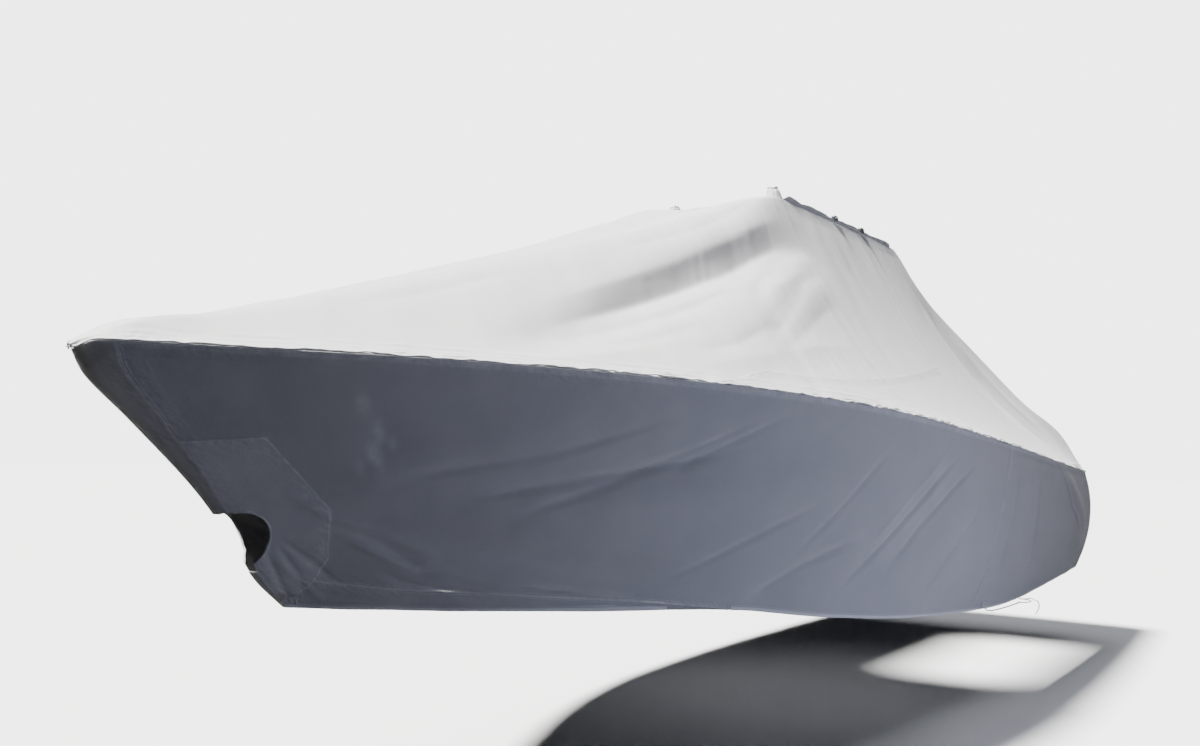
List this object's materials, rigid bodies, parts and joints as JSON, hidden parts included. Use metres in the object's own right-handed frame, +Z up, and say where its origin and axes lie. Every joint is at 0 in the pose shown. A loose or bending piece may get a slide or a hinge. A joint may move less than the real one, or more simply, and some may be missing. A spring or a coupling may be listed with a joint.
{
  "type": "boat cover",
  "caption": "Fitted canvas storage cover for a centre-console boat with a hardtop: tented top, open neck for the hardtop's legs, full skirt, bow-eye cut-out and hem tie",
  "frame": {"origin": "the point under the top on the centreline, 0.2 m ahead of the neck, where the boat's console and frame hold the top up", "axes": "+Z up; -Y towards the bow and +Y towards the stern; +X towards the port side"},
  "size_m": [3.3067, 9.504, 2.8478],
  "materials": {
    "canvas": "woven marine canvas, matt",
    "canvas_doubled": "two layers of the same canvas, sewn, matt",
    "binding": "woven edge binding and covered welt, matt",
    "webbing": "flat woven webbing",
    "buckle_plastic": "moulded, satin",
    "cord": "braided cord"
  },
  "bodies": {
    "root": {"top_panel_port": "canvas", "top_panel_starboard": "canvas", "aft_panel": "canvas", "side_panel_port": "canvas", "side_panel_starboard": "canvas", "quarter_panel_port": "canvas", "quarter_panel_starboard": "canvas", "transom_panel": "canvas", "hem_band_port": "canvas", "hem_band_starboard": "canvas", "stem_strip_upper": "canvas_doubled", "stem_strip_lower": "canvas_doubled", "bow_patch_port": "canvas_doubled", "bow_patch_starboard": "canvas_doubled", "cutout_binding_port": "binding", "cutout_binding_starboard": "binding", "sheer_welt_port": "binding", "sheer_welt_starboard": "binding", "gunwale_patch_port": "canvas", "gunwale_patch_starboard": "canvas", "chafe_strip_port": "canvas_doubled", "chafe_strip_starboard": "canvas_doubled", "collar_band": "canvas_doubled", "leg_boot_port": "canvas", "leg_boot_starboard": "canvas", "collar_strap_port_1": "webbing", "collar_strap_port_2": "webbing", "collar_strap_starboard_1": "webbing", "collar_strap_starboard_2": "webbing", "collar_buckle_port_1": "buckle_plastic", "collar_buckle_port_2": "buckle_plastic", "collar_buckle_starboard_1": "buckle_plastic", "collar_buckle_starboard_2": "buckle_plastic", "stem_draw_tab": "canvas_doubled", "tie_tab": "canvas_doubled", "tie_hitch": "cord", "tie_cord": "cord", "tie_knot": "cord"}
  },
  "joints": []
}
